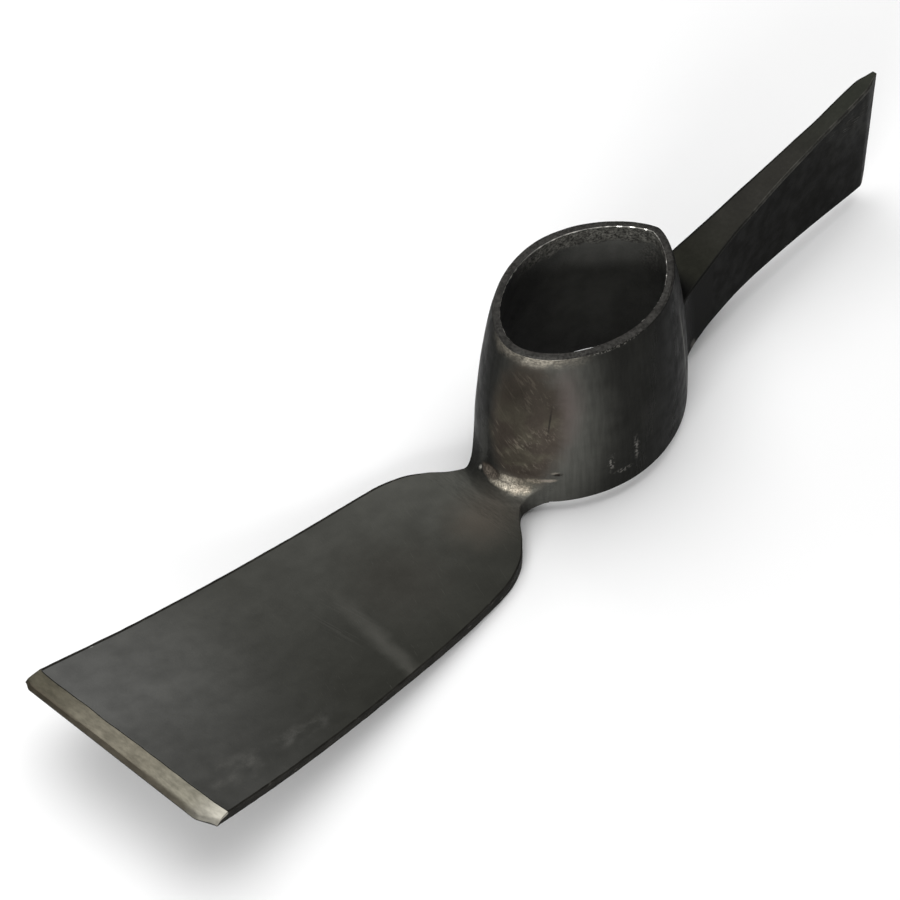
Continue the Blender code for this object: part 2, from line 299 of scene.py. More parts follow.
def wall_profile():
    """Height and inset of each ring round the eye's wall: up outside, over the rim, down inside."""
    arc = np.radians(np.linspace(0, 90, 5))
    ease_up, ease_in = EYE_EDGE * (1 - np.sin(arc)), EYE_EDGE * (1 - np.cos(arc))
    band_start = EYE_DEPTH - FINE_BAND
    fine = np.linspace(band_start, EYE_DEPTH - EYE_EDGE, 22)
    outside = list(zip(ease_up[::-1], ease_in[::-1]))
    outside += [(height, 0.0) for height in np.linspace(EYE_EDGE, band_start, 96)[1:-1]]
    outside += [(height, 0.0) for height in fine]
    outside += list(zip(EYE_DEPTH - ease_up[1:], ease_in[1:]))
    rim = [(EYE_DEPTH, inset) for inset in np.linspace(EYE_EDGE, EYE_WALL_TOP - EYE_INNER_EDGE, 7)[1:]]
    inside = []
    coarse = np.linspace(band_start - 0.5 * MM, EYE_EDGE, 50)
    for height in np.concatenate((fine[::-1] + EYE_INNER_EDGE, coarse)):
        thicker = EYE_WALL_TOP - EYE_WALL_BOTTOM
        inside.append((height, EYE_WALL_BOTTOM + thicker * height / EYE_DEPTH))
    foot = [(0.0, inset) for inset in np.linspace(EYE_WALL_BOTTOM - EYE_EDGE, EYE_EDGE, 5)[:-1]]
    return outside, rim, inside, foot


def eye_relief(points, outer, rim_zone, inner):
    """How far the forged surface stands from the plain wall, outside, on the rim and inside."""
    x, y, z = np.moveaxis(points, -1, 0)

    # Facets hammered into the hoe end, and slow hand-forged waves that fade out at the roots
    hoe_end = ramp(-6 * MM, -30 * MM, x)
    facets = sum(height * MM * bump(y, place * MM, reach * MM) for place, reach, height in FACETS)
    relief = facets * hoe_end * outer * bump(z, 44 * MM, 30 * MM)
    off_hoe = np.maximum(ramp(20 * MM, 32 * MM, z), ramp(24 * MM, 32 * MM, np.abs(y)))
    off_axe = np.maximum(ramp(46 * MM, 56 * MM, z), ramp(30 * MM, 20 * MM, x))
    free_wall = outer * off_hoe * off_axe
    relief += free_wall * 0.22 * MM * rough(points, 30 * MM, 2, 3.0)
    relief += free_wall * 0.03 * MM * rough(points * (1, 1, 0.25), 2.2 * MM, 2, 9.0)

    # Ground band under the rim, strongest at the hoe end
    band = ramp(EYE_DEPTH - 6.5 * MM, EYE_DEPTH, z) ** 1.5
    ragged = 1 + 0.25 * rough(points, 5 * MM, 2, 5.0)
    relief -= outer * band * ragged * (0.15 + 0.75 * hoe_end * bump(y, -6 * MM, 40 * MM)) * MM

    # Slight waves on the rim, and scale with a torn band under the rim inside
    relief += rim_zone * 0.08 * MM * rough(points, 6 * MM, 2, 1.0)
    ragged_height = z + 2.2 * MM * rough(points, 9 * MM, 2, 7.0)
    torn = ramp(EYE_DEPTH - 8 * MM, EYE_DEPTH - 4 * MM, ragged_height)
    relief += inner * torn * (0.25 * rough(points, 1.6 * MM, 3, 2.0) - 0.25) * MM
    relief += inner * 0.12 * MM * rough(points, 14 * MM, 2, 4.0)

    # The pit and the groove
    relief += outer * dent(points, EYE_PIT, (4, 2.4, 1.6), 0.3)
    return relief + outer * dent(points, EYE_GROOVE, (4, 0.9, 11), 0.15)


def make_eye_socket():
    turns = np.linspace(0, 2 * math.pi, EYE_COUNT, endpoint=False)
    outside, rim, inside, foot = wall_profile()
    points = np.array([eye_ring(height, inset, turns) for height, inset in outside + rim + inside + foot])
    zone = np.repeat((0, 1, 2, 1), (len(outside), len(rim), len(inside), len(foot)))[:, None]
    relief = eye_relief(points, zone == 0, zone == 1, zone == 2)
    normals = grid_normals(points, True)
    outward = -np.sign(normals[len(outside) // 2, EYE_COUNT // 2, 0])
    points = points + normals * (outward * relief)[..., None]
    points[..., 2] = np.clip(points[..., 2], 0.0, EYE_DEPTH)

    # Slots: wall, rim with its rounded outer corner, bore, and the bright burr at the bore's mouth
    slots = np.repeat(zone, EYE_COUNT, axis=1)
    slots[len(outside) - 3:len(outside)] = 1
    slots[len(outside) + len(rim) - 1] = 3
    return make_piece("eye_socket", points, 30, True, slots)


# ---- Blades ----

def section(half_width, top, bottom, corner, counts):
    """Y and Z of rings round a flat-sided section, from the middle of its lower face towards +Y.

    half_width, top and bottom hold a value for each ring, and each result has a row for each.
    """
    across, up_side, arc_points = counts
    arc = np.radians(np.linspace(0, 90, arc_points))
    half_width, top, bottom = (np.asarray(v, float)[:, None] for v in (half_width, top, bottom))
    ease = np.minimum(corner, np.minimum(0.45 * (top - bottom), 0.45 * half_width))
    lower = np.linspace(0, 1, across // 2, endpoint=False)[None, :] * (half_width - ease)
    lower_arc_y = half_width - ease + ease * np.sin(arc)[None, :]
    lower_arc_z = bottom + ease - ease * np.cos(arc)[None, :]
    side = np.linspace(0, 1, up_side + 2)[None, 1:-1]
    side_z = bottom + ease + side * (top - bottom - 2 * ease)
    upper_arc_z = top - ease + ease * np.sin(arc)[None, :]
    upper_arc_y = half_width - ease + ease * np.cos(arc)[None, :]
    upper = np.linspace(1, 0, across // 2 + 1)[None, 1:] * (half_width - ease)
    y = np.concatenate((lower, lower_arc_y, side_z * 0 + half_width, upper_arc_y, upper), axis=1)
    z = np.concatenate((lower * 0 + bottom, lower_arc_z, side_z, upper_arc_z, upper * 0 + top), axis=1)
    y = np.concatenate((y, -y[:, -2:0:-1]), axis=1)
    z = np.concatenate((z, z[:, -2:0:-1]), axis=1)
    return y, z


def section_zones(counts):
    """Zone of each ring point made by section(): 0 lower face, 1 side, 2 upper face, 3 upper arris."""
    across, up_side, arc_points = counts
    half = [0] * (across // 2) + [1] * (arc_points + up_side) + [3] * arc_points + [2] * (across // 2)
    return np.array(half + half[-2:0:-1])


def hoe_ring_points(x, inset=0.0):
    """Points of the hoe blade's plain sections, one ring for each x, set in all round by inset."""
    top, bottom = on_curve(HOE_UPPER_FACE, x) - inset, on_curve(HOE_LOWER_FACE, x) + inset
    y, z = section(on_curve(HOE_HALF_WIDTH, x) - inset, top, bottom, HOE_CORNER, HOE_COUNTS)
    return np.stack((np.repeat(x[:, None], y.shape[1], axis=1), y, z), axis=2)


def hoe_relief(points, upper, side):
    """How far the rolled and hammered surface stands from the plain blade."""
    x, y = points[..., 0], points[..., 1]
    away_from_toe = ramp(HOE_TOE, HOE_TOE - 12 * MM, x)
    waves = 0.22 * MM * rough(points * (1, 1, 0), 38 * MM, 2, 11.0)
    pitting = 0.02 * MM * rough(points * (1, 1, 0), 2.5 * MM, 3, 13.0)
    ridge_x = -130.8 * MM + 0.16 * y + 1.2 * MM * rough(points * (0, 1, 0), 16 * MM, 2, 17.0)
    across_half = ramp(22 * MM, 0.0, y)
    ridge = 0.07 * MM * bump(x, ridge_x, 5 * MM) * across_half
    step = 0.14 * MM * ramp(-4 * MM, 4 * MM, x - ridge_x) * bump(x, ridge_x, 45 * MM) * across_half
    sheared = 0.10 * MM * rough(points * (1, 1, 2.5), 5 * MM, 3, 19.0)
    return away_from_toe * (upper * (waves + pitting + ridge + step) + side * sheared)


def grind_bevel(points, on_bevel, bevel_start):
    """Grinds the edge down from the upper face: a wavy top line and a narrow second bevel."""
    x, y, z = np.moveaxis(points, -1, 0)
    wave = 0.45 * MM * rough(points * (0, 1, 0), 17 * MM, 2, 23.0) - 0.012 * y
    x += wave * bump(x, bevel_start, 5 * MM)
    into = np.clip((x + HOE_REACH) / BEVEL_LENGTH, 0.0, 1.0)
    edge_z = on_curve(HOE_LOWER_FACE, np.array([-HOE_REACH]))[0]
    line_z = on_curve(HOE_UPPER_FACE, np.array([bevel_start]))[0]
    second = 0.16 + 0.10 * ramp(30 * MM, -35 * MM, y)
    rise_to_line = line_z - edge_z - SECOND_BEVEL_RISE
    low_part = EDGE_LAND + (SECOND_BEVEL_RISE - EDGE_LAND) * np.clip(into / second, 0.0, 1.0)
    high_part = rise_to_line * np.clip((into - second) / (1 - second), 0.0, 1.0)
    ground = edge_z + np.where(into < second, low_part, SECOND_BEVEL_RISE + high_part)
    lower = on_curve(HOE_LOWER_FACE, x)
    plain_top = on_curve(HOE_UPPER_FACE, x)
    share = np.clip((z - lower) / np.maximum(plain_top - lower, 1e-6), 0.0, 1.0)
    points[..., 2] = np.where(on_bevel, lower + share * np.maximum(ground - lower, EDGE_LAND), z)


def wear_corners(points):
    """Wears the two corners of the edge round, the near one more."""
    x, y = points[..., 0], points[..., 1]
    near = ramp(38.4 * MM, 47.4 * MM, -y)
    far = ramp(44 * MM, 47.4 * MM, y)
    x += (near + 0.5 * far) * CORNER_WEAR * bump(x, -HOE_REACH, 12 * MM)


def make_hoe_blade():
    bevel_start = -HOE_REACH + BEVEL_LENGTH
    bevel = -HOE_REACH + BEVEL_LENGTH * np.array((0.0, 0.07, 0.14, 0.2, 0.3, 0.45, 0.6, 0.75, 0.9, 1.0))
    eased = bevel_start + np.array((0.35, 0.8, 1.4)) * MM
    stations = np.concatenate((bevel, eased, np.linspace(bevel_start + 2.2 * MM, HOE_TOE, 150)))
    points = hoe_ring_points(stations)
    zones = section_zones(HOE_COUNTS)
    upper, side, arris = zones == 2, np.isin(zones, (1, 3)), zones == 3
    relief = hoe_relief(points, upper, side)
    points[..., 2] += upper * relief
    points[..., 1] += side * np.sign(points[..., 1]) * relief
    grind_bevel(points, (np.arange(len(stations)) < len(bevel))[:, None], bevel_start)
    wear_corners(points)

    # The tongue steps in under the weld and ends inside the eye's wall. Slots: face, bevel, sheared
    # side, and the dark line where the bevel meets the face
    tongue = hoe_ring_points(np.linspace(HOE_TOE, -47 * MM, 12), TONGUE_STEP)
    slots = np.zeros((len(stations) + len(tongue) - 1, len(zones)), int)
    slots[:, side] = 2
    slots[:len(bevel) - 1, upper | arris] = 1
    slots[len(bevel) - 1, upper] = 3
    return make_piece("hoe_blade", np.concatenate((points, tongue)), 17, False, slots)


def axe_ring_points(x, inset=0.0):
    """Points of the axe blade's sections, one ring for each x, with the leaning, round-toed edge."""
    into_toe = np.clip(AXE_TOE_RADIUS - (AXE_REACH - x), 0.0, AXE_TOE_RADIUS)
    toe_rise = AXE_TOE_RADIUS - np.sqrt(AXE_TOE_RADIUS ** 2 - into_toe ** 2)
    top = on_curve(AXE_UPPER_EDGE, x) - inset
    bottom = on_curve(AXE_LOWER_EDGE, x) + toe_rise + inset
    y, z = section(on_curve(AXE_HALF_THICKNESS, x) - inset, top, bottom, AXE_CORNER, AXE_COUNTS)
    lean = AXE_LEAN * np.clip(x - AXE_BEVEL_START, 0.0, None) / (AXE_REACH - AXE_BEVEL_START)
    down = (top[:, None] - z) / (top - bottom)[:, None]
    return np.stack((x[:, None] - lean[:, None] * down, y, z), axis=2)


def make_axe_blade():
    cheek = np.linspace(AXE_TOE, AXE_BEVEL_START - 1 * MM, 96)
    stations = np.concatenate((cheek, np.linspace(AXE_BEVEL_START, AXE_REACH, 16)))
    points = axe_ring_points(stations)
    zones = section_zones(AXE_COUNTS)[None, :]
    x = points[..., 0]
    away = ramp(AXE_TOE, AXE_TOE + 12 * MM, x) * ramp(AXE_REACH, AXE_REACH - 6 * MM, x)
    waves = 0.2 * MM * rough(points, 26 * MM, 2, 31.0) + 0.02 * MM * rough(points, 2.2 * MM, 3, 37.0)
    points[..., 1] += np.sign(points[..., 1]) * np.isin(zones, (1, 3)) * away * waves
    points[..., 2] += (zones == 2) * away * waves

    # The edge's top corner is blunted, and hammered over towards the far side
    below_top = on_curve(AXE_UPPER_EDGE, x) - points[..., 2]
    blunt = ramp(138 * MM, 170 * MM, x) * (1 - ramp(0, 12 * MM, below_top))
    points[..., 1] += np.where(points[..., 1] > 0, blunt * 1.3 * MM, 0.0)
    points[..., 2] -= blunt * 0.4 * MM
    tongue = axe_ring_points(np.linspace(AXE_TOE, 49 * MM, 10), TONGUE_STEP)
    all_points = np.concatenate((tongue[::-1], points))
    slots = np.repeat(np.choose(zones, (0, 0, 1, 2)), len(all_points) - 1, axis=0)
    return make_piece("axe_blade", all_points, 20, False, slots)


# ---- Welds ----

def weld_rings(toe, hoe_side, blade, weld):
    """Rings from a blade's toe line to the eye's wall, along a fillet tangent to both."""
    half_width, upper, lower, corner, counts = blade
    rise, arch, (low_spread, high_spread), (side_length, top_length) = weld
    outward = -1.0 if hoe_side else 1.0
    under = section_zones(counts)[None, :] == 0
    turns = np.radians(np.linspace(0, 90, FILLET_ROWS))
    toe_weight = np.concatenate((np.linspace(1, 0, RUN_IN_ROWS, endpoint=False), turns * 0))[:, None]
    gap_share = np.concatenate((np.ones(RUN_IN_ROWS), 1 - np.sin(turns)))[:, None]
    climb = np.concatenate((np.zeros(RUN_IN_ROWS), 1 - np.cos(turns)))[:, None]
    x = np.full((len(climb), under.shape[1]), toe)
    for _ in range(SOLVER_STEPS):
        width_here = on_curve(half_width, x)
        top_here = on_curve(upper, x)
        low_here = on_curve(lower, x)
        y, z = plain_ring(width_here, top_here, low_here, corner, counts)
        arch_share = np.sqrt(np.clip(1 - (y / arch) ** 2, 0.0, 1.0))
        height_share = np.clip((z - low_here) / (top_here - low_here), 0.0, 1.0)
        near_top = ramp(0.5, 1.0, height_share)
        side_share = np.abs(y) / width_here
        z = z + climb * rise * arch_share * near_top
        foot_share = (1 - near_top) * np.where(under, 1.0, 1 - height_share)
        z = np.maximum(z, z + climb * (FOOT_LIFT - z) * foot_share)
        y = y + np.sign(y) * climb * side_share * (low_spread + (high_spread - low_spread) * near_top)
        length = side_length + (top_length - side_length) * near_top * arch_share
        fillet_x = eye_wall_x(y, z, hoe_side) + outward * (gap_share * length - WALL_BITE)
        x = (x + toe_weight * toe + (1 - toe_weight) * fillet_x) / 2
    return np.stack((x, y, z), axis=2)


def plain_ring(half_width, top, bottom, corner, counts):
    """section() with half width, top and bottom given separately at every ring point."""
    ones = np.ones(1)
    unit_y, unit_z = section(ones, ones, -ones, 0.0, counts)
    round_y, round_z = section(10 * ones, 10 * ones, -10 * ones, 1.0, counts)
    ease_y = (10 * unit_y - round_y) * corner
    ease_z = (10 * unit_z - round_z) * corner
    return unit_y * half_width - ease_y, (top + bottom) / 2 + unit_z * (top - bottom) / 2 - ease_z


def hoe_weld_relief(points):
    """The dent and chip at the crown and a fine grain, fading out where the weld meets the eye."""
    x, y, z = np.moveaxis(points, -1, 0)
    relief = dent(points, WELD_DENT, (6, 6.0, 3.0), 0.6) + dent(points, WELD_CHIP, (6, 1.3, 1.8), 0.5)
    relief += 0.05 * MM * rough(points, 1.4 * MM, 2, 41.0) * ramp(-58 * MM, -54 * MM, x)
    return relief * ramp(-0.3 * MM, -1.2 * MM, x - eye_wall_x(y, z, True))


def make_hoe_weld():
    points = weld_rings(HOE_TOE, True, HOE_BLADE, HOE_WELD)
    normals = grid_normals(points, False)
    crown = points.shape[1] // 2
    outward = -np.sign(normals[-FILLET_ROWS // 2, crown, 0])
    points = points + normals * (outward * hoe_weld_relief(points))[..., None]
    return make_piece("hoe_weld", close_in_wall(points, True), 24)


def make_axe_weld():
    points = weld_rings(AXE_TOE, False, AXE_BLADE, AXE_WELD)
    points = close_in_wall(points, False)
    slots = np.repeat(np.choose(section_zones(AXE_COUNTS), (0, 0, 1, 2))[None, :], len(points) - 1, axis=0)
    return make_piece("axe_weld", points, 24, False, slots)


def close_in_wall(points, hoe_side):
    """The rings, turned back inside the eye's wall, so that nothing shows in its bore."""
    into_wall = (LINING_DEPTH if hoe_side else -LINING_DEPTH, 0, 0)
    lining = [points[-1] + into_wall]
    for ring in points[-2:RUN_IN_ROWS:-LINING_STEP]:
        middle = ring.mean(axis=0) * (0, 1, 1)
        shrunk = middle + (ring - middle) * (1, LINING_SIZE, LINING_SIZE)
        lining.append(shrunk + into_wall)
    return np.concatenate((points, np.array(lining)))


# ---- Finishes: every pattern is placed in millimetres about the eye's axis ----

def tone(*channels):
    """Linear colour of an 8-bit sRGB colour."""
    shares = [channel / 255 for channel in channels]
    return tuple(v / 12.92 if v < 0.04 else ((v + 0.055) / 1.055) ** 2.4 for v in shares)


class Finish:
    """A material under construction: a Principled shader and short ways to add patterns."""

    def __init__(self, name, roughness, metallic=METAL_SHARE, specular=LACQUER_GLOSS):
        self.material = bpy.data.materials.new(name)
        self.material.use_nodes = True
        self.tree = self.material.node_tree
        self.shader = self.tree.nodes["Principled BSDF"]
        self.feed(self.shader.inputs["Roughness"], roughness)
        self.feed(self.shader.inputs["Metallic"], metallic)
        self.feed(self.shader.inputs["Specular IOR Level"], specular)
        self.feed(self.shader.inputs["Specular Tint"], (EDGE_GLEAM, EDGE_GLEAM, EDGE_GLEAM, 1.0))
        coordinates = self.node("TexCoord", {}).outputs["Object"]
        moved = self.vector("SUBTRACT", coordinates, tuple(EYE_FOOT))
        self.place = self.vector("MULTIPLY", moved, (1 / MM,) * 3)

    def feed(self, socket, value):
        """Links a node's output to a socket, or sets the socket to a constant."""
        if isinstance(value, bpy.types.NodeSocket):
            self.tree.links.new(value, socket)
        else:
            socket.default_value = value

    def node(self, kind, inputs, **settings):
        """A new shader node with its settings, its inputs fed by their names or numbers."""
        node = self.tree.nodes.new("ShaderNode" + kind)
        for name, setting in settings.items():
            setattr(node, name, setting)
        for name, value in inputs.items():
            self.feed(node.inputs[name], value)
        return node

    def vector(self, operation, one, other):
        """A vector sum, product or quotient."""
        return self.node("VectorMath", {0: one, 1: other}, operation=operation).outputs["Vector"]

    def maths(self, operation, one, other=0.0):
        """A sum on one or two numbers."""
        return self.node("Math", {0: one, 1: other}, operation=operation).outputs[0]

    def times(self, mask, share):
        """The mask weakened by a share, or kept only where another mask is 1."""
        return self.maths("MULTIPLY", mask, share)

    def axis(self, name):
        """X, Y or Z of the place, in millimetres."""
        return self.node("SeparateXYZ", {0: self.place}).outputs[name]

    def ramp(self, value, low, high, start=0.0, end=1.0):
        """Smooth ramp of a value from start at low to end at high."""
        inputs = {"Value": value, "From Min": low, "From Max": high, "To Min": start, "To Max": end}
        return self.node("MapRange", inputs, interpolation_type="SMOOTHSTEP").outputs["Result"]

    def turned(self, degrees):
        """The place, turned about X, Y and Z."""
        inputs = {"Vector": self.place, "Rotation": [math.radians(angle) for angle in degrees]}
        return self.node("VectorRotate", inputs, rotation_type="EULER_XYZ").outputs["Vector"]

    def grain(self, size, detail=3.0, stretch=(1, 1, 1), degrees=None, distortion=0.0):
        """Noise from 0 to 1 with features of a size in millimetres, longer where stretch is larger."""
        place = self.place if degrees is None else self.turned(degrees)
        place = self.vector("DIVIDE", place, tuple(size * s for s in stretch))
        inputs = {"Vector": place, "Scale": 1.0, "Detail": detail, "Distortion": distortion}
        return self.node("TexNoise", inputs).outputs["Fac"]

    def wobble(self, size, amount, detail=3.0):
        """Noise that strays to both sides of 0, by at most half the amount."""
        return self.maths("MULTIPLY", self.maths("SUBTRACT", self.grain(size, detail), 0.5), amount)

    def spot(self, centre, reach, ragged=0.0, size=6.0, core=0.0):
        """Mask that is 1 within core of a centre and fades to 0 at reach, with a ragged outline."""
        offset = self.vector("SUBTRACT", self.place, centre)
        offset = self.vector("DIVIDE", offset, reach)
        distance = self.node("VectorMath", {0: offset}, operation="LENGTH").outputs["Value"]
        if ragged:
            distance = self.maths("ADD", distance, self.wobble(size, ragged))
        return self.ramp(distance, core, 1.0, 1.0, 0.0)

    def scratches(self, width, length, degrees, threshold, mask, lengthwise=0):
        """Thin streaks along the turned X, Y or Z axis (0, 1 or 2), kept where the mask is 1."""
        stretch = [1, 1, 1]
        stretch[lengthwise] = length / width
        streak = self.grain(width, 2.0, stretch, degrees)
        return self.times(self.ramp(streak, threshold, threshold + 0.06), mask)

    def blend(self, under, over, mask, share=1.0, mode="MIX"):
        """Colour over laid on colour under where the mask is 1, at most by the share."""
        if share < 1.0:
            mask = self.times(mask, share)
        under, over = ((*c, 1.0) if isinstance(c, tuple) else c for c in (under, over))
        inputs = {0: mask, 6: under, 7: over}
        return self.node("Mix", inputs, data_type="RGBA", blend_type=mode).outputs[2]

    def mottle(self, colour, size, strength, stretch=(1, 1, 1), detail=3.0):
        """The colour, lighter and darker by strength in patches of a size."""
        shade = self.patchy(size, 1 - strength, 1 + strength, detail, stretch)
        grey = self.node("CombineColor", {0: shade, 1: shade, 2: shade}).outputs[0]
        return self.blend(colour, grey, 1.0, mode="MULTIPLY")

    def patchy(self, size, low, high, detail=4.0, stretch=(1, 1, 1)):
        """A value that wanders between two others in patches of a size."""
        return self.ramp(self.grain(size, detail, stretch), 0.3, 0.7, low, high)

    def finish(self, colour, roughness, height, depth):
        """Feeds the shader: colour, roughness and a bump of a height pattern, depth in millimetres."""
        self.feed(self.shader.inputs["Base Color"], colour)
        self.feed(self.shader.inputs["Roughness"], roughness)
        inputs = {"Strength": 1.0, "Distance": depth * MM, "Height": height}
        self.feed(self.shader.inputs["Normal"], self.node("Bump", inputs).outputs["Normal"])
        return self.material


# ---- The ground, heated neck ----

def heated_area(skin):
    """Mask of the brown patch that the weld's grinding left on the eye."""
    return skin.spot((-43, -9.5, 38), (30, 16, 39), ragged=0.22, core=0.6)


def ground_area(skin):
    """Mask of the places ground bright at the neck, with a faint haze between them; their brightness is
    partly a painted highlight on the concave fillet.
    """
    haze = skin.spot((-49, -6, 10), (5, 9, 4.5), ragged=0.4, size=3.0)
    ground = skin.times(haze, 0.35)
    for centre, reach in GROUND_PLACES:
        place = skin.spot(centre, reach, ragged=0.5, size=1.6, core=0.35)
        ground = skin.maths("MAXIMUM", ground, place)
    return ground


def neck_tints(skin, colour):
    """The colour with the tints of one ground, heated area laid over it."""
    warm = skin.spot((-64, -7, 3), (23, 20, 10), ragged=0.4, size=9.0)
    colour = skin.blend(colour, tone(70, 66, 60), warm)
    brown = skin.blend(tone(68, 62, 56), tone(80, 76, 66), skin.ramp(skin.grain(11), 0.42, 0.6))
    brown = skin.blend(brown, tone(50, 46, 41), skin.ramp(skin.axis("Z"), 34, 54), 0.85)
    colour = skin.blend(colour, brown, heated_area(skin))
    # Bare ground metal, painted bright partly as a highlight on the concave fillet.
    bright = skin.blend(tone(164, 157, 143), tone(104, 98, 88), skin.ramp(skin.axis("Y"), -5, -11))
    bright = skin.mottle(skin.mottle(bright, 0.6, 0.45), 2.2, 0.16)
    colour = skin.blend(colour, bright, ground_area(skin))
    arm = skin.spot((-41, -18.6, 12.6), (5, 5.0, 1.1), ragged=0.4, size=1.6, core=0.2)
    colour = skin.blend(colour, tone(134, 126, 116), arm, 0.8)

    # The dent and its paler floor, the chip, and the pit's lip and the pit: each a centre, a reach,
    # how ragged it is and in what size, its core and its colour
    floor_colour = skin.mottle(tone(92, 85, 77), 0.8, 0.42)
    marks = ((WELD_DENT, (5, 6.2, 3.3), 0.35, 2.0, 0.5, tone(48, 43, 39)),
             (DENT_FLOOR, (5, 5.6, 2.9), 0.35, 2.0, 0.5, floor_colour),
             (WELD_CHIP, (4, 0.9, 1.4), 0.8, 1.0, 0.2, tone(186, 183, 174)),
             (PIT_LIP, (3, 1.9, 1.1), 0.9, 1.0, 0.2, tone(120, 115, 106)),
             (EYE_PIT, (3, 1.9, 1.0), 1.0, 1.0, 0.2, tone(42, 38, 35)))
    for centre, reach, ragged, size, core, mark_colour in marks:
        colour = skin.blend(colour, mark_colour, skin.spot(centre, reach, ragged, size, core))
    return colour


# ---- Eye finishes ----

def eye_skin_colour(skin):
    """Lacquered scale on the eye, finely streaked, painted lighter facing the hoe as painted light, darker
    round the sides and towards the axe end as painted shade, with a soft painted sheen low on the left.
    """
    along = skin.axis("X")
    # Painted light: the wall facing the hoe and the front lamp is painted lighter.
    painted_light_facing_hoe = skin.spot((-40, -16, 34), (40, 24, 70), ragged=0.15, size=10.0, core=0.3)
    colour = skin.blend(tone(34, 34, 32), tone(76, 76, 72), painted_light_facing_hoe)
    # Painted shade: darker towards the axe end, on the side that faces away from the lamps.
    colour = skin.blend(colour, tone(20, 20, 19), skin.ramp(along, -6, 22), 0.85)
    # A soft painted sheen low on the left of the hoe end.
    painted_sheen_low_left = skin.spot((-46, 8, 22), (14, 5, 20), ragged=0.3, core=0.2)
    colour = skin.blend(colour, tone(56, 56, 53), painted_sheen_low_left)
    # Painted shade: darker still at the pointed end.
    colour = skin.blend(colour, tone(9, 9, 8), skin.ramp(along, 18, 34), 0.7)
    colour = skin.mottle(colour, 18, 0.14)
    colour = skin.mottle(colour, 1.6, 0.10, (1, 1, 18), 2.0)
    return skin.blend(colour, tone(88, 80, 77), skin.spot((-37, -21, 48), (15, 8, 32), 0.4, 8.0))


def rub_eye(skin, colour, swirl):
    """Grinding swirls and smudges on the heated patch, the groove, and rubbed places low down."""
    brown = heated_area(skin)
    rubbed = rubbed_area(skin)
    swirl_across = skin.scratches(0.7, 16, (-58, 0, 0), 0.60, rubbed, 1)
    colour = skin.blend(colour, tone(122, 115, 102), swirl, 0.55)
    colour = skin.blend(colour, tone(112, 104, 94), swirl_across, 0.5)
    smudge = skin.times(skin.ramp(skin.grain(7, 4.0, distortion=1.0), 0.45, 0.62), brown)
    colour = skin.blend(colour, tone(58, 52, 47), smudge, 0.45)
    groove = skin.spot(EYE_GROOVE, (6, 0.5, 11), ragged=0.3, size=1.5)
    colour = skin.blend(colour, tone(30, 28, 27), groove, 0.8)
    for centre, reach in RUB_MARKS:
        speckle = skin.ramp(skin.grain(1.2, 4.0), 0.46, 0.58)
        rub = skin.times(skin.spot(centre, reach, ragged=1.2, size=2.0), speckle)
        colour = skin.blend(colour, tone(116, 114, 110), rub, 0.7)
    return colour


def rubbed_area(skin):
    """Mask of the heated patch's worn parts, fainter towards its side and its top."""
    wear_and_highlight = skin.ramp(skin.grain(8, 2.0), 0.42, 0.58, 0.15, 1.0)
    rubbed = skin.times(heated_area(skin), wear_and_highlight)
    rubbed = skin.times(rubbed, skin.ramp(skin.axis("Y"), -21, -16, 0.25, 1.0))
    return skin.times(rubbed, skin.ramp(skin.axis("Z"), 32, 46, 1.0, 0.2))


def grind_eye_mouth(skin, colour):
    """The ground band under the rim, a painted highlight along its lip, and dots of painted highlight that
    carry it on along the rim.
    """
    mouth = EYE_DEPTH / MM
    height = skin.axis("Z")
    hoe_side = skin.spot((-42, -9, 70), (30, 24, 16), ragged=0.3, size=8.0, core=0.35)
    ragged_height = skin.maths("ADD", height, skin.wobble(4, 5.0))
    band = skin.times(skin.ramp(ragged_height, mouth - 5.0, mouth - 1.0), hoe_side)
    colour = skin.blend(colour, skin.mottle(tone(98, 94, 86), 1.0, 0.42, (1, 1, 0.6), 5.0), band)
    # Painted highlight along the rim's outer lip, broken up by noise.
    lip_side = skin.spot((-38, -9, 71), (20, 20, 8), ragged=0.3, size=5.0, core=0.45)
    lip = skin.times(skin.ramp(height, mouth - 1.0, mouth - 0.5), lip_side)
    lip = skin.times(lip, skin.ramp(skin.grain(2), 0.32, 0.5))
    colour = skin.blend(colour, tone(196, 192, 182), lip)
    # Dots of painted highlight further along the rim's edge.
    highlight_dots_area = skin.spot((-14, -26, 71.6), (20, 10, 1.5), ragged=0.2, size=4.0, core=0.5)
    dots = skin.times(highlight_dots_area, skin.ramp(skin.grain(0.9), 0.48, 0.6))
    return skin.blend(colour, tone(112, 110, 105), dots, 0.7)


def paint_pointed_end_highlight(skin, colour):
    """A thin painted highlight line that leans a little, down one side of the pointed end."""
    lean = skin.maths("MULTIPLY", skin.axis("Z"), 0.1)
    off_line = skin.maths("SUBTRACT", skin.maths("ADD", skin.axis("X"), lean), 31.5)
    line = skin.ramp(skin.maths("ABSOLUTE", off_line), 0.2, 0.55, 1.0, 0.0)
    line = skin.times(line, skin.spot((29, -25, 32), (9, 9, 30), ragged=0.3, size=3.0, core=0.5))
    return skin.blend(colour, tone(140, 139, 133), line, 0.7)


def eye_finish():
    skin = Finish("eye_lacquered_steel", 0.42)
    swirl = skin.scratches(0.9, 24, (-40, 0, 0), 0.58, rubbed_area(skin), 1)
    colour = neck_tints(skin, eye_skin_colour(skin))
    colour = rub_eye(skin, colour, swirl)
    colour = grind_eye_mouth(skin, colour)
    colour = paint_pointed_end_highlight(skin, colour)
    relief = skin.maths("ADD", skin.grain(0.7, 3.0, (1, 1, 3)), skin.maths("MULTIPLY", swirl, -0.6))
    return skin.finish(colour, skin.patchy(5, 0.36, 0.50), relief, 0.05)


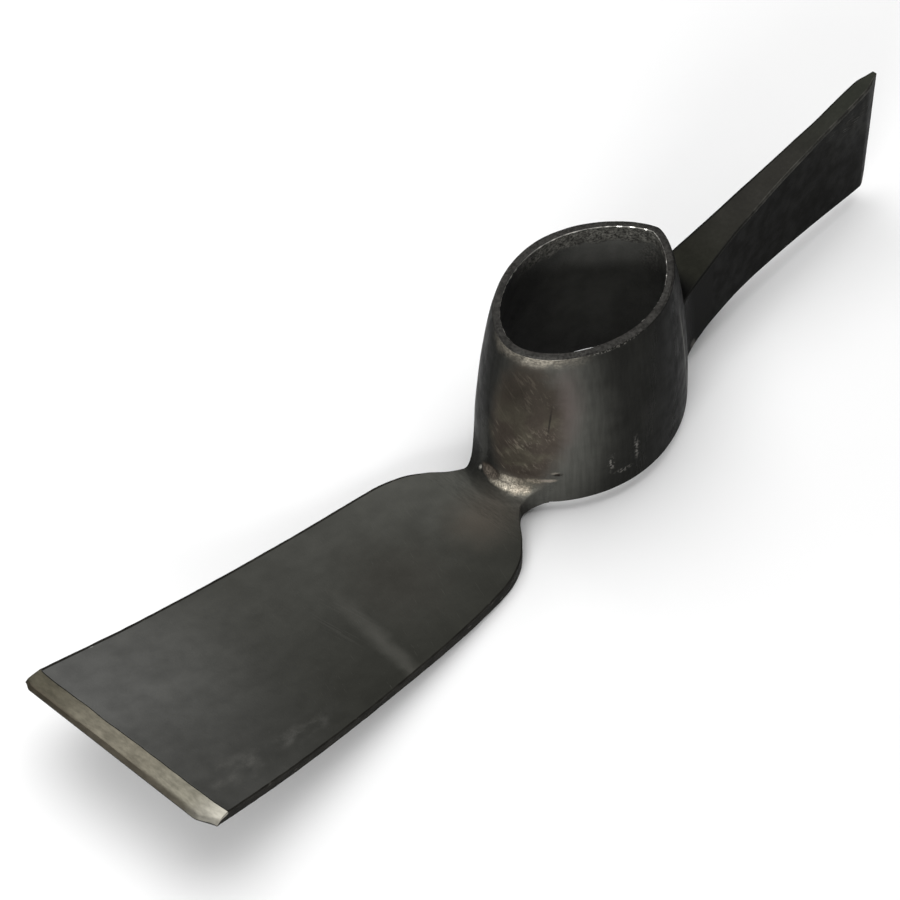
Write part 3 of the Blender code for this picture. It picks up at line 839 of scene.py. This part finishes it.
def rim_finish():
    skin = Finish("rim_cut_steel", 0.42)
    colour = skin.mottle(tone(51, 50, 48), 1.0, 0.42, detail=4.0)
    colour = skin.mottle(colour, 9, 0.15)
    return skin.finish(colour, skin.patchy(2, 0.36, 0.55, 3.0), skin.grain(0.6, 4.0), 0.12)


def bore_finish():
    """Dull scale, with painted light making it paler high on the axe end, and a torn, mottled band under
    the rim.
    """
    skin = Finish("bore_scale", 0.6, 0.2)
    # Painted light on the far inner wall, high at the axe end.
    painted_light_far_wall = skin.spot((28, 12, 40), (46, 40, 56), ragged=0.35, size=16.0)
    colour = skin.blend(tone(50, 50, 49), tone(96, 96, 92), painted_light_far_wall)
    colour = skin.mottle(colour, 9, 0.12)
    wavy_height = skin.maths("ADD", skin.axis("Z"), skin.wobble(6, 9.0, 4.0))
    torn = skin.ramp(wavy_height, 61.5, 64.0)
    torn_end = skin.spot((43, 3, 56), (6, 9, 15), ragged=0.9, size=4.0, core=0.3)
    torn = skin.maths("MAXIMUM", torn, skin.times(torn_end, 0.6))
    torn = skin.times(torn, skin.ramp(skin.axis("X"), -14, 4))
    torn_colour = skin.mottle(tone(76, 75, 71), 0.9, 0.7, detail=5.0)
    torn_colour = skin.mottle(torn_colour, 3.5, 0.35)
    colour = skin.blend(colour, torn_colour, torn)
    return skin.finish(colour, 0.6, skin.grain(1.0, 5.0), 0.2)


def burr_finish():
    skin = Finish("burr_bright_steel", 0.35, 0.8, 0.3)
    bright = skin.ramp(skin.grain(2.0), 0.25, 0.42)
    colour = skin.blend(tone(150, 148, 141), tone(244, 241, 234), bright)
    return skin.finish(colour, 0.35, skin.grain(0.8), 0.15)


# ---- Hoe finishes ----

def hoe_skin_colour(skin):
    """Rolled, lacquered plate with painted light: painted lighter at the edge and on the far side, and
    painted shade darker in the middle.
    """
    across = skin.axis("Y")
    # Painted light: lighter towards the far side, darker towards the near side.
    colour = skin.blend(tone(47, 47, 43), tone(70, 70, 66), skin.ramp(across, -44, 40))
    # A painted sheen near the edge, stronger on the far side.
    near_edge = skin.ramp(skin.axis("X"), -150, -240)
    pale = skin.times(near_edge, skin.ramp(across, -40, 40, 0.35, 0.9))
    colour = skin.blend(colour, tone(98, 98, 96), pale)
    # Painted shade in the middle of the plate.
    middle = skin.spot((-108, -4, 2), (34, 34, 30), ragged=0.4, size=20.0)
    colour = skin.blend(colour, tone(57, 56, 52), middle)
    colour = skin.mottle(colour, 26, 0.08)
    return skin.mottle(colour, 5, 0.05, (1.5, 1, 1), 4.0)


def paint_ridge_highlight_and_marks(skin, colour):
    """The plate's soft pale ridge, a painted highlight strongest on one half, with faint marks on its edge
    side.
    """
    across = skin.axis("Y")
    slant = skin.maths("SUBTRACT", skin.axis("X"), skin.maths("MULTIPLY", across, 0.16))
    off_ridge = skin.maths("ADD", skin.maths("ADD", slant, skin.wobble(9, 7.0)), 131.2)
    ridge = skin.ramp(skin.maths("ABSOLUTE", off_ridge), 0.0, 5.5, 1.0, 0.0)
    ridge = skin.times(ridge, skin.ramp(across, 20, -22))
    # The pale ridge line is a painted highlight along the ridge.
    colour = skin.blend(colour, tone(96, 95, 90), ridge, 0.30)
    beside = skin.spot((-138, -4, 6), (12, 22, 12), ragged=0.4, size=8.0)
    drag = skin.scratches(1.2, 30, (0, 0, -9), 0.54, beside, 1)
    return skin.blend(colour, tone(92, 91, 87), drag, 0.25)


def smeared_area(skin):
    """Mask of two powdery smears along one side of the plate."""
    corner = skin.spot((-222, -33, 24), (19, 9, 20), ragged=1.1, size=9.0, core=0.2)
    farther_in = skin.spot((-188, -34, 16), (22, 7, 20), ragged=1.1, size=9.0)
    smeared = skin.maths("MAXIMUM", corner, farther_in)
    clouds = skin.ramp(skin.grain(5.0, 6.0, (1.5, 1, 1), (0, 0, -12)), 0.36, 0.72)
    powder = skin.ramp(skin.grain(0.6, 2.0), 0.3, 0.7, 0.6, 1.0)
    return skin.times(skin.times(clouds, smeared), powder)


def hoe_finish():
    skin = Finish("hoe_lacquered_plate", 0.42)
    colour = paint_ridge_highlight_and_marks(skin, hoe_skin_colour(skin))
    smear = smeared_area(skin)
    colour = skin.blend(colour, tone(104, 103, 99), smear, 0.62)
    fine = skin.scratches(0.25, 20, (0, 0, -70), 0.68, 1.0)
    colour = skin.blend(colour, tone(92, 91, 87), fine, 0.25)
    arris_chip = skin.spot((-215.9, 44.9, 24.7), (1.6, 0.9, 3), ragged=0.5, size=1.0, core=0.3)
    colour = skin.blend(colour, tone(235, 235, 230), arris_chip)
    colour = neck_tints(skin, colour)
    relief = skin.maths("ADD", skin.grain(0.8, 4.0), skin.maths("MULTIPLY", smear, 0.5))
    return skin.finish(colour, skin.patchy(8, 0.36, 0.50, 5.0), relief, 0.045)


def bevel_line_finish():
    skin = Finish("bevel_line_lacquer", 0.5, 0.3)
    return skin.finish(skin.mottle(tone(34, 34, 31), 2.0, 0.3), 0.5, skin.grain(0.8), 0.05)


def bevel_finish():
    """Bare ground steel, browner along its lowest part, with a painted highlight making it brighter
    towards the near corner.
    """
    skin = Finish("bare_ground_edge", 0.42, 0.8, 0.3)
    across = skin.axis("Y")
    # Painted highlight: brighter step by step towards the near corner.
    colour = skin.blend(tone(70, 67, 57), tone(99, 95, 84), skin.ramp(across, 42, 8))
    colour = skin.blend(colour, tone(110, 107, 96), skin.ramp(across, -5, -36))
    colour = skin.blend(colour, tone(150, 147, 137), skin.ramp(across, -32, -47))
    colour = skin.mottle(colour, 1.0, 0.10, (1, 2.5, 1), 4.0)
    colour = skin.mottle(colour, 6, 0.10)
    ragged_x = skin.maths("ADD", skin.axis("X"), skin.wobble(5, 1.6))
    from_edge = skin.maths("ADD", ragged_x, HOE_REACH / MM)
    low = skin.times(skin.ramp(from_edge, 1.4, 2.4, 1.0, 0.0), skin.ramp(across, -40, -28))
    colour = skin.blend(colour, tone(78, 71, 61), low, 0.5)
    roughness = skin.patchy(1.5, 0.34, 0.5, 3.0, (1, 3, 1))
    return skin.finish(colour, roughness, skin.grain(0.6, 4.0, (1, 3, 1)), 0.04)


def sheared_finish():
    skin = Finish("sheared_edge_steel", 0.5)
    colour = skin.mottle(tone(38, 37, 34), 3, 0.25, (2, 1, 1), 4.0)
    wear_and_highlight = skin.ramp(skin.grain(2.2, 4.0, (2.5, 1, 1)), 0.60, 0.70)
    colour = skin.blend(colour, tone(88, 86, 81), wear_and_highlight, 0.4)
    return skin.finish(colour, 0.5, skin.grain(0.9, 4.0, (2, 1, 1)), 0.12)


# ---- Axe finishes ----

def axe_side_shaded_colour(skin):
    """Dark lacquer with painted shade, darker than the upper edge, worn to patchy grey near the edge's
    upper corner.
    """
    # Painted shade: the sides are painted far darker than the upper edge's lacquer.
    colour = skin.mottle(tone(15, 15, 13), 14, 0.15)
    near_edge = skin.spot((160, 0, 46), (34, 30, 24), ragged=0.6, size=9.0, core=0.2)
    patchy = skin.ramp(skin.grain(4.5, 5.0), 0.42, 0.62, 0.15, 0.9)
    return skin.blend(colour, tone(43, 43, 41), skin.times(near_edge, patchy))


def axe_top_colour(skin):
    """Dark lacquer on the upper edge, greyer along its middle."""
    along = skin.axis("X")
    colour = skin.blend(tone(32, 32, 27), tone(41, 40, 37), skin.ramp(along, 56, 98))
    colour = skin.blend(colour, tone(43, 44, 39), skin.ramp(along, 112, 160))
    colour = skin.mottle(colour, 12, 0.12)
    return skin.mottle(colour, 1.5, 0.08, detail=4.0)


def axe_finish():
    skin = Finish("axe_side_steel_painted_shade", 0.42)
    near_corner = skin.spot((152, 0, 47), (24, 30, 8), ragged=0.5, size=8.0, core=0.2)
    drag = skin.scratches(0.6, 9, (0, -12, 0), 0.56, near_corner)
    colour = skin.blend(axe_side_shaded_colour(skin), tone(84, 83, 79), drag, 0.22)
    return skin.finish(colour, skin.patchy(6, 0.38, 0.54), skin.grain(0.8, 4.0), 0.05)


def axe_top_finish():
    skin = Finish("axe_top_steel", 0.42)
    return skin.finish(axe_top_colour(skin), skin.patchy(6, 0.38, 0.54), skin.grain(0.8, 4.0), 0.06)


def axe_arris_finish():
    """Dark lacquer, worn grey along the near arris and more so towards the edge."""
    skin = Finish("axe_arris_worn_steel", 0.42)
    wear_and_highlight = skin.ramp(skin.grain(3.5, 5.0), 0.36, 0.74, 0.3, 1.0)
    near_edge = skin.ramp(skin.axis("X"), 58, 116)
    near_side = skin.ramp(skin.axis("Y"), 0.5, -0.5)
    wear_and_highlight = skin.times(wear_and_highlight, skin.times(near_edge, near_side))
    colour = skin.blend(tone(26, 26, 24), tone(68, 67, 63), wear_and_highlight)
    return skin.finish(colour, 0.42, skin.grain(0.8, 4.0), 0.08)


# ---- Weld finishes ----

def hoe_weld_finish():
    skin = Finish("hoe_weld_ground_steel", 0.40)
    to_eye = skin.ramp(skin.axis("X"), -58, -49)
    colour = skin.blend(hoe_skin_colour(skin), eye_skin_colour(skin), to_eye)
    colour = neck_tints(skin, colour)
    colour = skin.mottle(colour, 0.6, 0.10, (1, 6, 1))
    roughness = skin.ramp(ground_area(skin), 0.0, 1.0, 0.44, 0.34)
    return skin.finish(colour, roughness, skin.grain(0.6, 4.0), 0.07)


def axe_weld_finish(name, blade_colour):
    """Finish of the weld's side or top, which runs into the blade's colour there."""
    skin = Finish(name, 0.45)
    to_blade = skin.ramp(skin.axis("X"), 50, 58)
    colour = skin.blend(eye_skin_colour(skin), blade_colour(skin), to_blade)
    # A light spot at the weld's lower toe: a painted highlight.
    wear_and_highlight = skin.spot((53, -9, 4.5), (3, 4, 3.5), ragged=0.8, size=3.0)
    colour = skin.blend(colour, tone(120, 118, 112), wear_and_highlight, 0.6)
    return skin.finish(colour, 0.46, skin.grain(0.9, 4.0), 0.08)


# ---- Stage, lights and camera ----

def floor_finish():
    skin = Finish("pale_floor", 0.9, 0.0, 0.5)
    colour = skin.mottle((0.92, 0.92, 0.92), 60, 0.004)
    skin.feed(skin.shader.inputs["Base Color"], colour)
    return skin.material


def make_stage():
    corners = [(x * FLOOR_HALF, y * FLOOR_HALF, 0) for x, y in ((-1, -1), (1, -1), (1, 1), (-1, 1))]
    mesh = bpy.data.meshes.new("floor_shape")
    mesh.from_pydata(corners, [], [(0, 1, 2, 3)])
    floor = new_object("floor", mesh)
    mesh.materials.append(floor_finish())


def make_world():
    world = bpy.data.worlds.new("studio")
    world.use_nodes = True
    background = world.node_tree.nodes["Background"]
    background.inputs["Color"].default_value = (1.0, 1.0, 1.0, 1.0)
    background.inputs["Strength"].default_value = WORLD_STRENGTH
    bpy.context.scene.world = world


def make_softbox(name, place, target, size, power):
    """A rectangular light of a width and height in metres, aimed at a target."""
    light = bpy.data.lights.new(name, "AREA")
    light.shape = "RECTANGLE"
    light.size, light.size_y = size
    light.energy = power
    lamp = new_object(name, light)
    lamp.location = place
    lamp.rotation_euler = (Vector(target) - Vector(place)).to_track_quat("-Z", "Y").to_euler()


def make_camera():
    back = (CAMERA_AT - CAMERA_TARGET).normalized()
    right = Vector((0, 0, 1)).cross(back).normalized()
    up = back.cross(right)
    tilted_right = right * math.cos(CAMERA_ROLL) + up * math.sin(CAMERA_ROLL)
    tilted_up = up * math.cos(CAMERA_ROLL) - right * math.sin(CAMERA_ROLL)
    data = bpy.data.cameras.new("camera")
    data.lens = CAMERA_LENS
    camera = new_object("camera", data)
    columns = Matrix((tilted_right, tilted_up, back)).transposed()
    camera.matrix_world = Matrix.Translation(CAMERA_AT) @ columns.to_4x4()
    bpy.context.scene.camera = camera


# ---- Assembly ----

def add(piece, node, materials):
    """Finishes a piece, which rides with the head and replaces its CAD node."""
    for material in materials:
        piece.data.materials.append(material)
    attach(piece, "root")
    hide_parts(node)


make_camera()
make_stage()
make_world()
for softbox in SOFTBOXES:
    make_softbox(*softbox)

arris = axe_arris_finish()
eye_finishes = (eye_finish(), rim_finish(), bore_finish(), burr_finish())
hoe_finishes = (hoe_finish(), bevel_finish(), sheared_finish(), bevel_line_finish())
axe_finishes = (axe_finish(), axe_top_finish(), arris)
axe_weld_side = axe_weld_finish("axe_weld_side", axe_side_shaded_colour)
axe_weld_top = axe_weld_finish("axe_weld_top", axe_top_colour)
add(make_eye_socket(), "eye_socket", eye_finishes)
add(make_hoe_blade(), "hoe_blade", hoe_finishes)
add(make_axe_blade(), "axe_blade", axe_finishes)
add(make_hoe_weld(), "hoe_weld", (hoe_weld_finish(),))
add(make_axe_weld(), "axe_weld", (axe_weld_side, axe_weld_top, arris))
bpy.context.scene.view_settings.view_transform = "Standard"
